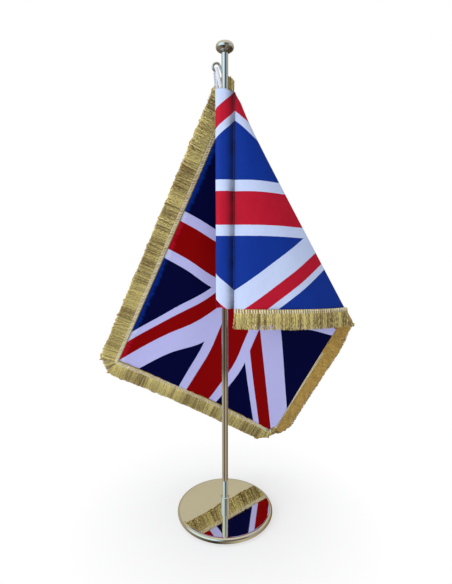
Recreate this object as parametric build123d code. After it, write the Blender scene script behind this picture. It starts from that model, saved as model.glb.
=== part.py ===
from build123d import *
import os
from math import atan2, cos, hypot, pi, radians, sin, tan

# Desk flag stand, millimetres.  +Z is up, the origin is the centre of the base's underside,
# the pole stands on the Z axis, the flag's front panel faces -Y and its fold points to +X.

# Base
base_diameter = 97.0
base_height = 7.5
felt_thickness = 1.0
cover_sheet = 0.8
rim_radius = 3.2
rim_tuck_angle = -60.0
weight_diameter = 89.6
felt_diameter = 89.0

# Collar, stud, nut and washer that hold the pole in the base
collar_diameter = 8.6
collar_height = 10.5
collar_floor = 2.5
collar_chamfer = 0.6
stud_diameter = 4.0
running_clearance = 0.05
nut_across_flats = 7.0
nut_height = 2.4
washer_diameter = 9.0
washer_thickness = 0.8
pocket_clearance = 0.1

# Pole
pole_diameter = 6.0
pole_bore = 4.6
pole_top = 440.2
plug_length = 12.0
pole_end_gap = 0.1

# Finial button
finial_diameter = 16.0
finial_height = 9.0
finial_stud_diameter = 3.0
finial_stud_length = 6.0
finial_gap = 0.1

# Wire hook: a nearly closed eye to the left of the pole
hook_wire_diameter = 2.2
eye_radius = 3.1
eye_centre_x = -7.4
eye_centre_z = 428.7
eye_start_angle = 23.0
eye_end_angle = 248.0
shank_length = 8.0

# Hanging loop of tape
tape_width = 2.6
tape_thickness = 0.5
loop_gap = 0.4
loop_lift = 0.8

# Flag cloth: hoist runs down the pole, fly is the long way
flag_hoist = 201.5
flag_fly = 303.5
cloth_thickness = 0.5
sleeve_left = -8.3
sleeve_right = 8.8
sleeve_bulge = 4.2
sleeve_extra_top = 1.0
sleeve_length = 194.5
sleeve_overlap = 0.4
seam_top_z = 408.5
thread_width = 0.4
thread_inset = 1.2

# Drape: where the folded flag's foot of the fold and its two fly corners hang
fold_foot = Vector(133.0, 41.0, 201.0)
fly_top_corner = Vector(-118.7, 56.0, 143.2)
fly_bottom_corner = Vector(61.5, 77.0, 52.0)
fold_foot_fly = 144.0
front_heading = -13.0
flap_standoff = 9.0
flap_pause = 15.5
flap_slack = 18.0
slack_power = 4.0
turn_length = 12.5
turn_limit = 0.35
turn_skip = 8.0

# Fringe: a braided header with hanging threads
header_width = 4.6
header_thickness = 1.2
fringe_width = 20.5
fringe_thickness = 1.0
edge_gap = 0.3
corner_gap = 1.6
corner_flare = 0.5
top_band_start = 7.2
bottom_band_start = 0.8
hem_overlap = 6.5
flap_overlap = 1.5
overlap_change = 40.0
hem_lift = 1.0

# Values worked out from the ones above
base_top = base_height
weight_top = base_top - cover_sheet
collar_top = base_top + collar_height
pole_bottom = base_top + collar_floor + pole_end_gap
seam_top = Vector(sleeve_right, 0, seam_top_z)
flap_root = seam_top + Vector(0, flap_standoff, 0)
fold_angle = atan2(fold_foot_fly, flag_hoist)
corner_angle = atan2(flag_fly, flag_hoist)
fold_length = hypot(flag_hoist, fold_foot_fly)
diagonal = hypot(flag_hoist, flag_fly)
sleeve_middle = (sleeve_left + sleeve_right + sleeve_overlap) / 2


def ring(outer, inner, low, high):
    """A flat ring or sleeve on the Z axis."""
    body = Cylinder(outer / 2, high - low, align=(Align.CENTER, Align.CENTER, Align.MIN))
    hole = Cylinder(inner / 2, high - low, align=(Align.CENTER, Align.CENTER, Align.MIN))
    return Pos(0, 0, low) * (body - hole)


def rod(diameter, low, high):
    """A plain round rod on the Z axis."""
    body = Cylinder(diameter / 2, high - low, align=(Align.CENTER, Align.CENTER, Align.MIN))
    return Pos(0, 0, low) * body


# ---------------------------------------------------------------- base

def base_cover():
    """Spun cover: flat top, half-round rim tucked under, hole for the stud."""
    centre_r = base_diameter / 2 - rim_radius
    centre_z = base_top - rim_radius

    def rim_point(radius, degrees):
        angle = radians(degrees)
        return (centre_r + radius * cos(angle), centre_z + radius * sin(angle))

    hole = stud_diameter / 2 + running_clearance
    inner_radius = rim_radius - cover_sheet
    mid = (90.0 + rim_tuck_angle) / 2
    with BuildPart() as cover:
        with BuildSketch(Plane.XZ):
            with BuildLine():
                Line((hole, base_top), rim_point(rim_radius, 90))
                ThreePointArc(rim_point(rim_radius, 90), rim_point(rim_radius, mid),
                              rim_point(rim_radius, rim_tuck_angle))
                Line(rim_point(rim_radius, rim_tuck_angle), rim_point(inner_radius, rim_tuck_angle))
                ThreePointArc(rim_point(inner_radius, rim_tuck_angle), rim_point(inner_radius, mid),
                              rim_point(inner_radius, 90))
                Line(rim_point(inner_radius, 90), (hole, weight_top))
                Line((hole, weight_top), (hole, base_top))
            make_face()
        revolve(axis=Axis.Z)
    return cover.part


def hex_pocket(across_flats, low, high):
    """A hexagonal prism on the Z axis."""
    outline = RegularPolygon(across_flats / 2, 6, major_radius=False)
    return Pos(0, 0, low) * extrude(outline, high - low)


def base_weight():
    """Iron ballast disc with a pocket that traps the nut and washer."""
    nut_top = felt_thickness + pocket_clearance + nut_height
    washer_top = nut_top + washer_thickness + pocket_clearance
    disc = rod(weight_diameter, felt_thickness, weight_top)
    disc -= rod(stud_diameter + 2 * running_clearance, felt_thickness, weight_top)
    disc -= hex_pocket(nut_across_flats + 2 * pocket_clearance, felt_thickness, nut_top)
    disc -= rod(washer_diameter + 2 * pocket_clearance, nut_top, washer_top)
    return chamfer(disc.edges().group_by(Axis.Z)[-1].filter_by(GeomType.CIRCLE)[-1], 0.8)


def base_nut():
    """Nut trapped in the ballast; its thread is left plain."""
    low = felt_thickness + pocket_clearance / 2
    nut = hex_pocket(nut_across_flats, low, low + nut_height)
    return nut - rod(stud_diameter + 2 * running_clearance, low, low + nut_height)


def base_washer():
    """Plain washer between the nut and the ballast."""
    low = felt_thickness + pocket_clearance + nut_height
    return ring(washer_diameter, stud_diameter + 2 * running_clearance + 0.2, low,
                low + washer_thickness)


def base_felt():
    """Felt disc under the base."""
    return rod(felt_diameter, 0, felt_thickness)


def base_collar():
    """Turned ferrule that the pole's foot sits in."""
    collar = rod(collar_diameter, base_top, collar_top)
    collar = chamfer(collar.edges().group_by(Axis.Z)[-1], collar_chamfer)
    collar -= rod(pole_diameter + 2 * running_clearance, base_top + collar_floor, collar_top)
    return collar - rod(stud_diameter + 2 * running_clearance, base_top, collar_top)


# ---------------------------------------------------------------- pole

def hook_path():
    """Centre line of the hook: a straight shank that leads into an open eye."""
    def eye_point(degrees):
        angle = radians(degrees)
        return (eye_centre_x + eye_radius * cos(angle), 0, eye_centre_z + eye_radius * sin(angle))

    start = radians(eye_start_angle)
    joint = Vector(*eye_point(eye_start_angle))
    foot = joint - Vector(-sin(start), 0, cos(start)) * shank_length
    shank = Line(foot, joint)
    curl = ThreePointArc(joint, eye_point((eye_start_angle + eye_end_angle) / 2),
                         eye_point(eye_end_angle))
    return shank, curl


def hook_wire(diameter=hook_wire_diameter, only_shank=False):
    """Bent wire hook; the shank alone is the hole it is soldered into."""
    shank, curl = hook_path()
    section = Plane(shank @ 0, z_dir=shank % 0) * Circle(diameter / 2)
    straight = extrude(section, amount=shank_length)
    if only_shank:
        return straight
    eye_section = Plane(curl @ 0, z_dir=curl % 0) * Circle(diameter / 2)
    eye = sweep(eye_section, path=curl)
    tip = Pos(*(curl @ 1)) * Sphere(diameter / 2)
    return straight + eye + tip


def pole_tube():
    """Thin tube, open at both ends, with the slanted hole for the hook."""
    tube = ring(pole_diameter, pole_bore, pole_bottom, pole_top)
    return tube - hook_wire(hook_wire_diameter, only_shank=True)


def pole_foot_stud():
    """Plug pressed into the tube's foot, with the stud that screws into the nut."""
    plug = rod(pole_bore, pole_bottom, pole_bottom + plug_length)
    return plug + rod(stud_diameter, felt_thickness + 0.3, pole_bottom)


def pole_top_plug():
    """Plug pressed into the tube's top, bored for the finial's stud."""
    plug = rod(pole_bore, pole_top - plug_length, pole_top)
    bore = finial_stud_diameter + 2 * running_clearance
    return plug - rod(bore, pole_top - finial_stud_length - 0.5, pole_top)


def finial_cap():
    """Mushroom button with a low crown, widest at half height, with its stud below."""
    low = pole_top + finial_gap
    high = low + finial_height
    radius = finial_diameter / 2
    neck = 0.5 * radius
    widest = low + 0.5 * finial_height
    with BuildPart() as cap:
        with BuildSketch(Plane.XZ):
            with BuildLine():
                Line((0, low), (neck, low))
                Spline((neck, low), (0.88 * radius, low + 0.2 * finial_height), (radius, widest),
                       tangents=((0.9, 0.44), (0, 1)))
                Spline((radius, widest), (0.8 * radius, low + 0.86 * finial_height), (0, high),
                       tangents=((0, 1), (-1, 0)))
                Line((0, high), (0, low))
            make_face()
        revolve(axis=Axis.Z)
    return cap.part + rod(finial_stud_diameter, low - finial_stud_length, low)


# ---------------------------------------------------------------- sheets of cloth, tape and fringe

def sheet_solid(rows, thickness):
    """A closed solid of flat triangles around a grid of middle-surface points."""
    count, width = len(rows), len(rows[0])

    def normal(j, i):
        across = rows[j][min(i + 1, width - 1)] - rows[j][max(i - 1, 0)]
        along = rows[min(j + 1, count - 1)][i] - rows[max(j - 1, 0)][i]
        return across.cross(along).normalized() * (thickness / 2)

    upper = [[rows[j][i] + normal(j, i) for i in range(width)] for j in range(count)]
    lower = [[rows[j][i] - normal(j, i) for i in range(width)] for j in range(count)]
    faces = []

    def quad(a, b, c, d):
        for corners in ((a, b, c), (a, c, d)):
            faces.append(Face(Wire.make_polygon(corners, close=True)))

    for j in range(count - 1):
        for i in range(width - 1):
            quad(upper[j][i], upper[j][i + 1], upper[j + 1][i + 1], upper[j + 1][i])
            quad(lower[j][i], lower[j][i + 1], lower[j + 1][i + 1], lower[j + 1][i])
    for j in range(count - 1):
        for i in (0, width - 1):
            quad(upper[j][i], upper[j + 1][i], lower[j + 1][i], lower[j][i])
    for i in range(width - 1):
        for j in (0, count - 1):
            quad(upper[j][i], upper[j][i + 1], lower[j][i + 1], lower[j][i])
    return Solid(Shell(faces))


def smooth(t):
    """Zero below 0, one above 1, smooth between."""
    t = max(0.0, min(1.0, t))
    return t * t * (3 - 2 * t)


def through_three(t, stops, values):
    """The quadratic through three values."""
    total = values[0] * 0
    for k in range(3):
        a, b = [stops[m] for m in range(3) if m != k]
        total = total + values[k] * ((t - a) * (t - b) / ((stops[k] - a) * (stops[k] - b)))
    return total


def front_point(reach, angle):
    """Front panel: a bowed cone from the seam's top, ruled towards the bottom edge."""
    foot = (fold_foot - seam_top) * (1 / fold_length)
    heading = radians(front_heading)
    lead = fold_angle / 2
    middle = Vector(lead * cos(heading), lead * sin(heading), -1)
    t = angle / fold_angle
    blend = Vector(0, 0, -1) * (1 - t) ** 2 + middle * (2 * t * (1 - t)) + foot * t ** 2
    stretch = 1 + (foot.length - 1) * smooth(t)
    return seam_top + blend.normalized() * (reach * stretch)


def flap_point(reach, angle):
    """Folded-back panel: a nearly flat cone that passes behind the pole."""
    stops = (fold_angle, corner_angle, pi / 2)
    rays = [(fold_foot - flap_root) * (1 / (fold_length - flap_pause)),
            (fly_bottom_corner - flap_root) * (1 / (diagonal - flap_pause)),
            (fly_top_corner - flap_root) * (1 / (flag_fly - flap_pause))]
    ray = through_three(angle, stops, [r.normalized() for r in rays])
    length = through_three(angle, stops, [r.length for r in rays])
    back = smooth(reach / (2.5 * flap_standoff))
    start = seam_top + (flap_root - seam_top) * back
    share = min(reach / edge_reach(angle), 1.0)
    slack = through_three(angle, stops, (0.0, flap_slack, 0.0)) * sin(pi * share ** slack_power)
    return start + ray.normalized() * ((reach - flap_pause * back + slack) * length)


def turn_half(reach):
    """Half the angle that the rounded fold takes up at this distance from the seam's top."""
    return min(turn_length / 2 / max(reach, 0.1), turn_limit)


def drape(reach, angle):
    """Point of the hanging cloth; angle is measured from the seam, 0 to 90 degrees."""
    half = turn_half(reach)
    first, last = fold_angle - half, fold_angle + half
    skip = turn_skip / fold_length

    def on_flap(a):
        return flap_point(reach, a + skip * (pi / 2 - a) / (pi / 2 - fold_angle))

    if angle <= first:
        return front_point(reach, angle)
    if angle >= last:
        return on_flap(angle)
    t = (angle - first) / (last - first)
    step = 0.01
    a, b = front_point(reach, first), on_flap(last)
    push = 1.2 * 2 * half * reach
    leave = (a - front_point(reach, first - step)).normalized() * push
    enter = (on_flap(last + step) - b).normalized() * push
    return (a * (2 * t ** 3 - 3 * t ** 2 + 1) + leave * (t ** 3 - 2 * t ** 2 + t)
            + b * (3 * t ** 2 - 2 * t ** 3) + enter * (t ** 3 - t ** 2))


def cloth_point(fly, drop):
    """Point of the cloth by its distance from the seam and from the top edge."""
    return drape(hypot(fly, drop), atan2(fly, drop))


def angle_steps(reach, counts):
    """Angles from the seam to the top edge, with stops at both ends of the fold and at the corner."""
    half = turn_half(reach)
    stops = (0, fold_angle - half, fold_angle + half, corner_angle, pi / 2)
    steps = []
    for low, high, count in zip(stops, stops[1:], counts):
        steps += [low + (high - low) * i / count for i in range(count)]
    return steps + [pi / 2]


def edge_reach(angle):
    """Distance from the seam's top to the bottom or fly edge along a ruling."""
    return flag_hoist / cos(angle) if angle < corner_angle else flag_fly / sin(angle)


def draped_panel():
    """Front panel, fold and folded-back panel in one sheet."""
    rows = []
    for share in (0.008, 0.021, 0.036, 0.052, 0.075, 0.15, 0.3, 0.55, 0.78, 0.9, 1.0):
        angles = angle_steps(share * fold_length, (5, 6, 6, 6))
        rows.append([drape(share * edge_reach(a), a) for a in angles])
    return sheet_solid(rows, cloth_thickness)


def sleeve_tube():
    """Flat pocket sewn around the pole, open at both ends."""
    def lens(inset):
        left, right = (sleeve_left + inset, 0), (sleeve_right + sleeve_overlap - inset, 0)
        with BuildSketch() as outline:
            with BuildLine():
                ThreePointArc(left, (sleeve_middle, -sleeve_bulge + inset), right)
                ThreePointArc(right, (sleeve_middle, sleeve_bulge - inset), left)
            make_face()
        return outline.sketch

    wall = lens(0) - lens(cloth_thickness)
    low = seam_top_z - sleeve_length
    return Pos(0, 0, low) * extrude(wall, sleeve_length + sleeve_extra_top)


def flag_cloth():
    """The whole cloth: sleeve and draped panel in one piece."""
    return sleeve_tube() + draped_panel()


def sleeve_half_depth(x):
    """How far the sleeve's front stands out at x."""
    half_chord = (sleeve_right + sleeve_overlap - sleeve_left) / 2
    radius = (half_chord ** 2 + sleeve_bulge ** 2) / (2 * sleeve_bulge)
    return (radius ** 2 - (x - sleeve_middle) ** 2) ** 0.5 - radius + sleeve_bulge


def sleeve_thread():
    """Row of stitching beside the seam, on the front of the sleeve."""
    low = seam_top_z - sleeve_length + 3
    x = sleeve_right - thread_inset
    front = -sleeve_half_depth(x - thread_width / 2) - 0.02
    standing = (Align.CENTER, Align.MAX, Align.MIN)
    box = Box(thread_width, thread_width, sleeve_length - 6, align=standing)
    return Pos(x, front, low) * box


def top_edge_frame(fly):
    """Point of the top edge and the direction out of the cloth there."""
    step = 0.5
    here = cloth_point(fly, 0)
    along = cloth_point(fly + step, 0) - cloth_point(max(fly - step, 0), 0)
    down = cloth_point(fly, step) - here
    away = along.cross(along.cross(down)).normalized()
    settled = smooth((fly - top_band_start) / flap_standoff)
    return here, (Vector(0, 0, 1) * (1 - settled) + away * settled).normalized()


def face_point(fly, drop, lift):
    """Point lifted off the printed face of the cloth."""
    step = 0.5
    along = cloth_point(fly + step, drop) - cloth_point(fly - step, drop)
    down = cloth_point(fly, drop + step) - cloth_point(fly, drop - step)
    return cloth_point(fly, drop) + down.cross(along).normalized() * lift


def hem_cover(fly):
    """How far the bottom band laps over the cloth: less on the folded-back panel."""
    return hem_overlap + (flap_overlap - hem_overlap) * smooth((fly - fold_foot_fly) / overlap_change)


def band(edge, inner, outer, thickness):
    """Strip along one edge; the bottom one is sewn on the printed face, over the hem."""
    rows = []
    for share in (0.0, 0.5, 1.0):
        out = inner + (outer - inner) * share
        row = []
        if edge == "top":
            for fly in (top_band_start, 8.2, 9.5, 11, 13, 16, 20, 28, 60, 110, 160, 210, 260, flag_fly):
                flare = corner_flare * (out - corner_gap) * fly / flag_fly
                here, away = top_edge_frame(fly + flare)
                row.append(here + away * out)
        elif edge == "fly":
            for i in range(7):
                flare = corner_flare * (out - edge_gap) * (2 * i / 6 - 1)
                row.append(cloth_point(flag_fly + out, flag_hoist * i / 6 + flare))
        else:
            for angle in angle_steps(fold_length, (5, 6, 6, 1))[:-1]:
                past = out - hem_cover(flag_hoist * tan(angle))
                drop = flag_hoist + past
                last = flag_fly - edge_gap + corner_flare * max(past, 0)
                fly = min(max(drop * tan(angle), bottom_band_start), last)
                row.append(face_point(fly, drop, hem_lift))
        rows.append(row)
    return sheet_solid(rows, thickness)


def header(edge):
    """Braided strip sewn along the cloth's edge."""
    return band(edge, edge_gap, header_width, header_thickness)


def fringe(edge):
    """Hanging threads below the header."""
    return band(edge, header_width + edge_gap, fringe_width, fringe_thickness)


def hanging_loop():
    """Tape over the hook's eye; both strands end just above the sleeve."""
    foot_z = seam_top_z + sleeve_extra_top + loop_gap
    wire = hook_wire_diameter / 2 + tape_thickness + 0.15
    low_wire_z = eye_centre_z - eye_radius
    path = [Vector(-4.2, -1.9, foot_z), Vector(-5.2, -2.2, foot_z + 6), Vector(-7.2, -wire - 0.4, low_wire_z)]
    for degrees in (30, 60, 90, 120, 150):
        angle = radians(degrees)
        path.append(Vector(-8.0, -wire * cos(angle), low_wire_z + loop_lift + wire * sin(angle)))
    path += [Vector(-8.0, wire + 0.4, low_wire_z), Vector(-7.2, 2.2, foot_z + 6), Vector(-6.4, 1.9, foot_z)]
    half = Vector(tape_width / 2, 0, 0)
    rows = [[p - half, p + half] for p in path]
    return sheet_solid(rows, tape_thickness)


# ---------------------------------------------------------------- files

sub_parts = {
    "base_cover": base_cover,
    "base_weight": base_weight,
    "base_nut": base_nut,
    "base_washer": base_washer,
    "base_felt": base_felt,
    "base_collar": base_collar,
    "pole_tube": pole_tube,
    "pole_foot_stud": pole_foot_stud,
    "pole_top_plug": pole_top_plug,
    "hook_wire": hook_wire,
    "hanging_loop": hanging_loop,
    "finial_cap": finial_cap,
    "flag_cloth": flag_cloth,
    "sleeve_thread": sleeve_thread,
}

os.makedirs("parts", exist_ok=True)
for name, build in sub_parts.items():
    export_step(build(), f"parts/{name}.step")
for edge in ("top", "fly", "bottom"):
    export_step(header(edge), f"parts/header_{edge}.step")
    export_step(fringe(edge), f"parts/fringe_{edge}.step")
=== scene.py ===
import bpy
import math
import numpy as np
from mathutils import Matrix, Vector


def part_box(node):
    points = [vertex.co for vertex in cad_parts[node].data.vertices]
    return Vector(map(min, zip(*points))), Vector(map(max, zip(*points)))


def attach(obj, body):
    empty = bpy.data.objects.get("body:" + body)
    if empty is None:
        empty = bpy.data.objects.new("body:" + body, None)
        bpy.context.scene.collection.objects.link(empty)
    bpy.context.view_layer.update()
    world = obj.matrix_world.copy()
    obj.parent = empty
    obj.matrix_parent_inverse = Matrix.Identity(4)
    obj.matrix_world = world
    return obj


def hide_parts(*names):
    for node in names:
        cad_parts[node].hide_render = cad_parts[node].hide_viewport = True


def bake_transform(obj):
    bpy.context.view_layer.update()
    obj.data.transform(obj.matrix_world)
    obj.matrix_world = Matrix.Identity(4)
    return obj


# Desk flag stand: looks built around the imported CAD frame.  Lengths are in millimetres until a
# mesh is made; meshes are in metres, in the frame's own axes.

MM = 0.001
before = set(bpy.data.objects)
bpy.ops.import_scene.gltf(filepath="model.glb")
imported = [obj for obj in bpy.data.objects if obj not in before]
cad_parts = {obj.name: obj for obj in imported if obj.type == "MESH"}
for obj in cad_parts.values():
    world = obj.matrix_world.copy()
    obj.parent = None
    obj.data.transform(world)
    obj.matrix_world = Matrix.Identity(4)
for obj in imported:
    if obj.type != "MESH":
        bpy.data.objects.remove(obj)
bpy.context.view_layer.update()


def corner(node, which):
    """Lowest (0) or highest (1) corner of a CAD node, in millimetres."""
    return np.array(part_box(node)[which]) / MM


# ---------------- driving values

base_top = corner("base_cover", 1)[2]
# flat size of the flag, and the sleeve's left end and seam on either side of the pole
flag_hoist = 201.5
flag_fly = 303.5
sleeve_left = -8.3
sleeve_right = 8.8
sleeve_length = 194.5
# where the cloth hangs: top of the seam, foot of the fold and the two fly corners
seam_top = np.array([sleeve_right, 0.0, base_top + 401.0])
fold_foot = np.array([133.0, 41.0, base_top + 193.5])
fly_top_corner = np.array([-118.7, 56.0, base_top + 135.7])
fly_bottom_corner = np.array([61.5, 77.0, base_top + 44.5])
fold_foot_fly = 144.0
front_heading = math.radians(-13.0)
# the folded-back panel: its gap behind the seam, cloth used up on the way there, and its slack
flap_standoff = 9.0
flap_pause = 15.5
flap_slack = 18.0
slack_power = 4.0
# the rounded fold: cloth in it, its widest angle, cloth lost in its foot, and how full it is
turn_length = 12.5
turn_limit = 0.35
turn_skip = 8.0
turn_fullness = 1.2
# header and fringe: widths, where the top band starts, and how far the bottom band laps over the cloth
header_width = 4.6
fringe_width = 20.5
top_band_start = 7.2
hem_overlap = 6.5
flap_overlap = 1.5
overlap_change = 40.0
hem_lift = 1.0
# sheets
satin_thickness = 0.3
sleeve_thickness = 0.35
backing_thickness = 0.35
header_thickness = 0.7
loop_thickness = 0.5
loop_half_width = 1.45
# cords and threads
thread_radius = 0.27
thread_radius_spread = 0.08
thread_sides = 5
cord_sides = 8
stitch_tone = 0.7
# the camera: height over the base, distance, offset to the right, tilt in degrees and focal length
eye_height = 284.6
eye_distance = 394.0
eye_right = 1.0
eye_tilt = 9.0
eye_lens = 25.95

fold_angle = math.atan2(fold_foot_fly, flag_hoist)
corner_angle = math.atan2(flag_fly, flag_hoist)
fold_length = math.hypot(flag_hoist, fold_foot_fly)
diagonal = math.hypot(flag_hoist, flag_fly)
flap_root = seam_top + np.array([0.0, flap_standoff, 0.0])


# ---------------- drape of the cloth

def unit(v):
    """Vectors scaled to length one."""
    return v / np.maximum(np.linalg.norm(v, axis=-1, keepdims=True), 1e-9)


def smooth(t):
    """0 below 0, 1 above 1, and a soft step between."""
    t = np.clip(t, 0.0, 1.0)
    return t * t * (3 - 2 * t)


def through_three(t, stops, values):
    """The quadratic through three values."""
    total = 0
    for k in range(3):
        a, b = [stops[m] for m in range(3) if m != k]
        weight = (t - a) * (t - b) / ((stops[k] - a) * (stops[k] - b))
        total = total + weight[..., None] * np.asarray(values[k])
    return total


def front_point(reach, angle):
    """Front panel: a bowed cone from the seam's top."""
    foot = (fold_foot - seam_top) / fold_length
    lead = fold_angle / 2
    middle = np.array([lead * math.cos(front_heading), lead * math.sin(front_heading), -1])
    t = (angle / fold_angle)[..., None]
    ray = unit(np.array([0, 0, -1.0]) * (1 - t) ** 2 + middle * (2 * t * (1 - t)) + foot * t ** 2)
    stretch = 1 + (np.linalg.norm(foot) - 1) * smooth(t)
    return seam_top + ray * (reach[..., None] * stretch)


def flap_share(reach, angle):
    """Share of the way along a ruling of the flap, and the most its slack can add there."""
    edge = np.where(angle < corner_angle, flag_hoist / np.cos(np.minimum(angle, corner_angle)),
                    flag_fly / np.sin(np.maximum(angle, corner_angle)))
    most = through_three(angle, (fold_angle, corner_angle, math.pi / 2), [[0.0], [flap_slack], [0.0]])
    return np.minimum(reach / edge, 1.0)[..., None], most


def flap_point(reach, angle):
    """Folded-back panel: a nearly flat cone that passes behind the pole."""
    stops = (fold_angle, corner_angle, math.pi / 2)
    rays = [(fold_foot - flap_root) / (fold_length - flap_pause),
            (fly_bottom_corner - flap_root) / (diagonal - flap_pause),
            (fly_top_corner - flap_root) / (flag_fly - flap_pause)]
    ray = unit(through_three(angle, stops, [unit(r) for r in rays]))
    length = through_three(angle, stops, [[np.linalg.norm(r)] for r in rays])
    back = smooth(reach / (2.5 * flap_standoff))[..., None]
    start = seam_top + (flap_root - seam_top) * back
    share, most = flap_share(reach, angle)
    slack = most * np.sin(math.pi * share ** slack_power)
    return start + ray * ((reach[..., None] - flap_pause * back + slack) * length)


def drape(reach, angle):
    """Point of the hanging cloth; angle is measured from the seam, 0 to 90 degrees."""
    half = np.minimum(turn_length / 2 / np.maximum(reach, 0.1), turn_limit)
    first, last = fold_angle - half, fold_angle + half
    skip = turn_skip / fold_length

    def on_flap(a):
        return flap_point(reach, a + skip * (math.pi / 2 - a) / (math.pi / 2 - fold_angle))

    step = 0.01
    a, b = front_point(reach, first), on_flap(last)
    push = (turn_fullness * 2 * half * reach)[..., None]
    leave = unit(a - front_point(reach, first - step)) * push
    enter = unit(on_flap(last + step) - b) * push
    t = np.clip((angle - first) / (last - first), 0, 1)[..., None]
    turn = (a * (2 * t ** 3 - 3 * t ** 2 + 1) + leave * (t ** 3 - 2 * t ** 2 + t)
            + b * (3 * t ** 2 - 2 * t ** 3) + enter * (t ** 3 - t ** 2))
    front = front_point(reach, np.minimum(angle, first))
    flap = on_flap(np.maximum(angle, last))
    point = np.where((angle <= first)[..., None], front, turn)
    return np.where((angle >= last)[..., None], flap, point)


def cloth_point(fly, drop):
    """Point of the cloth by its distance from the seam and from the top edge, in millimetres."""
    fly, drop = np.broadcast_arrays(np.asarray(fly, float), np.asarray(drop, float))
    return drape(np.hypot(fly, drop), np.arctan2(fly, drop))


def cloth_normal(fly, drop, step=0.6):
    """Unit normal on the obverse side."""
    along = cloth_point(fly + step, drop) - cloth_point(np.maximum(fly - step, 0), drop)
    down = cloth_point(fly, drop + step) - cloth_point(fly, np.maximum(drop - step, 0))
    return unit(np.cross(down, along))


# ---------------- mesh helpers

def add_object(name, data):
    """A new object in the scene's own collection."""
    obj = bpy.data.objects.new(name, data)
    bpy.context.scene.collection.objects.link(obj)
    return obj


def new_object(name, verts, faces, material, uvs):
    """A smooth mesh object from points in millimetres; uvs is one pair per vertex."""
    mesh = bpy.data.meshes.new(name)
    mesh.from_pydata((np.asarray(verts) * MM).tolist(), [], faces)
    layer = mesh.uv_layers.new(name="UVMap")
    loops = np.empty(len(mesh.loops), dtype=np.int32)
    mesh.loops.foreach_get("vertex_index", loops)
    layer.data.foreach_set("uv", np.asarray(uvs, dtype=np.float32)[loops].ravel())
    mesh.polygons.foreach_set("use_smooth", [True] * len(mesh.polygons))
    mesh.materials.append(material)
    mesh.validate()
    return add_object(name, mesh)


def join_flag(obj, node=None):
    """The piece swings with the flag and may stand in for a CAD node."""
    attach(obj, "flag")
    if node:
        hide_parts(node)
    return obj


def add_number(obj, name, values):
    """One number per vertex, read by the materials."""
    attribute = obj.data.attributes.new(name, "FLOAT", "POINT")
    attribute.data.foreach_set("value", np.asarray(values, dtype=np.float32))


def grid_faces(rows, columns, closed=False):
    """Quads of a grid of vertices; closed joins the last column to the first."""
    faces = []
    last = columns if closed else columns - 1
    for j in range(rows - 1):
        here, below = j * columns, (j + 1) * columns
        for i in range(last):
            k = (i + 1) % columns
            faces.append((here + i, here + k, below + k, below + i))
    return faces


def closed_sheet(name, middle, normals, thickness, material, uvs):
    """A closed thin sheet around a grid of middle points; 'back' is 1 on the side away from the normals."""
    rows, columns = middle.shape[:2]
    count = rows * columns
    shift = normals * thickness / 2
    verts = np.concatenate([(middle + shift).reshape(-1, 3), (middle - shift).reshape(-1, 3)])
    upper = grid_faces(rows, columns)
    faces = [tuple(reversed(f)) for f in upper] + [tuple(i + count for i in f) for f in upper]
    rim = list(range(columns)) + [j * columns + columns - 1 for j in range(1, rows)]
    rim += [(rows - 1) * columns + i for i in range(columns - 2, -1, -1)]
    rim += [j * columns for j in range(rows - 2, 0, -1)]
    for a, b in zip(rim, rim[1:] + rim[:1]):
        faces.append((a, b, b + count, a + count))
    flat = np.asarray(uvs).reshape(-1, 2)
    obj = new_object(name, verts, faces, material, np.concatenate([flat, flat]))
    add_number(obj, "back", np.repeat([0.0, 1.0], count))
    return obj


def tubes(name, paths, radii, material, sides, tones=None):
    """Many round cords as one mesh.  paths is cords x points x 3, radii is cords x points."""
    cords, points = paths.shape[:2]
    tangent = unit(np.gradient(paths, axis=1))
    nearly_upright = np.abs(tangent[..., 2:3]) > 0.9
    helper = np.where(nearly_upright, np.array([1.0, 0, 0]), np.array([0, 0, 1.0]))
    side = unit(np.cross(tangent, helper[:, :1].repeat(points, axis=1)))
    up = np.cross(side, tangent)
    turn = np.linspace(0, 2 * math.pi, sides, endpoint=False)
    ring = side[:, :, None] * np.cos(turn)[:, None] + up[:, :, None] * np.sin(turn)[:, None]
    verts = paths[:, :, None] + ring * radii[:, :, None, None]
    steps = np.linalg.norm(np.diff(paths, axis=1), axis=2)
    length = np.concatenate([np.zeros((cords, 1)), np.cumsum(steps, axis=1)], axis=1)
    uvs = np.stack(np.broadcast_arrays(length[:, :, None], (turn / (2 * math.pi))[None, None]), axis=-1)
    wall = np.array([tuple(reversed(f)) for f in grid_faces(points, sides, closed=True)])
    caps = [list(range(sides)), list(reversed(range((points - 1) * sides, points * sides)))]
    faces = []
    for cord in range(cords):
        offset = cord * points * sides
        faces += (wall + offset).tolist()
        faces += [[i + offset for i in cap] for cap in caps]
    obj = new_object(name, verts.reshape(-1, 3), faces, material, uvs.reshape(-1, 2))
    if tones is not None:
        add_number(obj, "tone", np.repeat(np.asarray(tones, float), points * sides))
    return obj


# ---------------- material helpers

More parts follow.
